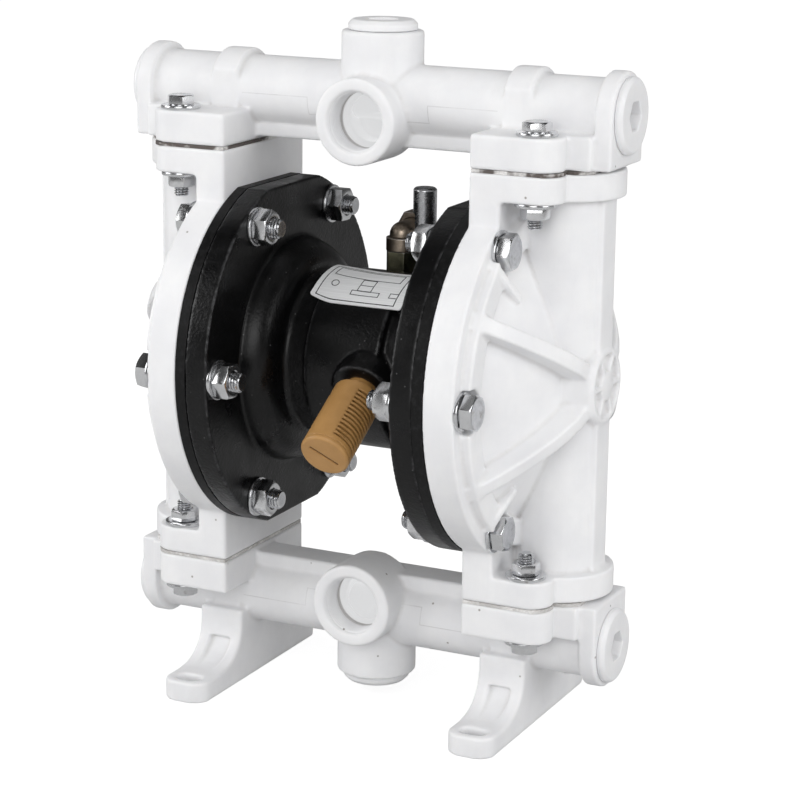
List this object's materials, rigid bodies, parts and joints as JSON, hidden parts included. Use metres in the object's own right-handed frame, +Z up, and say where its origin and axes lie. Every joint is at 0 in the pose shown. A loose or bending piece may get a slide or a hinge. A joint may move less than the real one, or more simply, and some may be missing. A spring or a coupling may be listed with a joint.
{
  "type": "air-operated double diaphragm pump",
  "caption": "Air-operated double diaphragm pump with white plastic chambers and manifolds, a black cast centre body and a sintered exhaust muffler.",
  "frame": {"origin": "on the floor, under the middle of the pump, midway between its two liquid chambers", "axes": "+X along the diaphragm shaft, -Y towards the side with the liquid ports and the muffler, +Z up"},
  "size_m": [0.2142, 0.145, 0.2802],
  "materials": {
    "white_plastic": "satin moulded polypropylene",
    "black_casting": "semi-gloss paint on a casting",
    "black_rubber": "matte",
    "red_gasket": "matte",
    "turned_steel": "turned",
    "zinc": "bright zinc plate",
    "brass": "dull",
    "muffler_bronze": "satin",
    "silver_foil": "satin"
  },
  "bodies": {
    "root": {"discharge_manifold": "white_plastic", "suction_manifold": "white_plastic", "liquid_chamber_left": "white_plastic", "liquid_chamber_right": "white_plastic", "center_body": "black_casting", "diaphragm_left": "black_rubber", "diaphragm_right": "black_rubber", "shaft_bushing_left": "brass", "shaft_bushing_right": "brass", "shaft_seal_left": "black_rubber", "shaft_seal_right": "black_rubber", "valve_sleeve": "turned_steel", "valve_cap_left": "black_casting", "valve_cap_right": "black_casting", "suction_seat_left": "turned_steel", "suction_seat_right": "turned_steel", "discharge_seat_left": "turned_steel", "discharge_seat_right": "turned_steel", "suction_gasket_left": "red_gasket", "suction_gasket_right": "red_gasket", "discharge_gasket_left": "red_gasket", "discharge_gasket_right": "red_gasket", "muffler_body": "muffler_bronze", "muffler_cap": "muffler_bronze", "inlet_nipple": "brass", "inlet_valve_body": "brass", "top_plug": "white_plastic", "bottom_plug": "white_plastic", "end_plug_top_left": "white_plastic", "end_plug_top_right": "white_plastic", "end_plug_bottom_left": "white_plastic", "end_plug_bottom_right": "white_plastic", "nameplate": "silver_foil", "manifold_bolts_top": "zinc", "manifold_bolts_bottom": "zinc", "manifold_nuts_top": "zinc", "manifold_nuts_bottom": "zinc", "manifold_washers": "zinc", "chamber_bolts_left": "zinc", "chamber_bolts_right": "zinc", "chamber_nuts_left": "zinc", "chamber_nuts_right": "zinc", "chamber_washers": "zinc"},
    "shaft": {"diaphragm_shaft": "turned_steel", "outer_plate_left": "white_plastic", "outer_plate_right": "white_plastic", "inner_plate_left": "turned_steel", "inner_plate_right": "turned_steel"},
    "spool": {"valve_spool": "turned_steel"},
    "pilot": {"pilot_pin": "turned_steel"},
    "ball_suction_left": {"suction_ball_left": "black_rubber"},
    "ball_suction_right": {"suction_ball_right": "black_rubber"},
    "ball_discharge_left": {"discharge_ball_left": "black_rubber"},
    "ball_discharge_right": {"discharge_ball_right": "black_rubber"},
    "lever": {"inlet_valve_ball": "turned_steel", "inlet_lever": "turned_steel", "lever_screw": "zinc"}
  },
  "joints": [
    {"name": "shaft_stroke", "type": "slide", "parent": "root", "child": "shaft", "axis": [1, 0, 0], "range_m": [-0.008, 0.008], "deforming": ["diaphragm_left", "diaphragm_right"]},
    {"name": "spool_shift", "type": "slide", "parent": "root", "child": "spool", "axis": [1, 0, 0], "range_m": [-0.003, 0.003]},
    {"name": "pilot_shift", "type": "slide", "parent": "root", "child": "pilot", "axis": [1, 0, 0], "range_m": [-0.003, 0.003]},
    {"name": "suction_lift_left", "type": "slide", "parent": "root", "child": "ball_suction_left", "axis": [0, 0, 1], "range_m": [0, 0.005]},
    {"name": "suction_lift_right", "type": "slide", "parent": "root", "child": "ball_suction_right", "axis": [0, 0, 1], "range_m": [0, 0.005]},
    {"name": "discharge_lift_left", "type": "slide", "parent": "root", "child": "ball_discharge_left", "axis": [0, 0, 1], "range_m": [0, 0.005]},
    {"name": "discharge_lift_right", "type": "slide", "parent": "root", "child": "ball_discharge_right", "axis": [0, 0, 1], "range_m": [0, 0.005]},
    {"name": "lever_turn", "type": "hinge", "parent": "root", "child": "lever", "pos_m": [0, 0.02, 0.191], "axis": [1, 0, 0], "range_deg": [0, 90]}
  ]
}
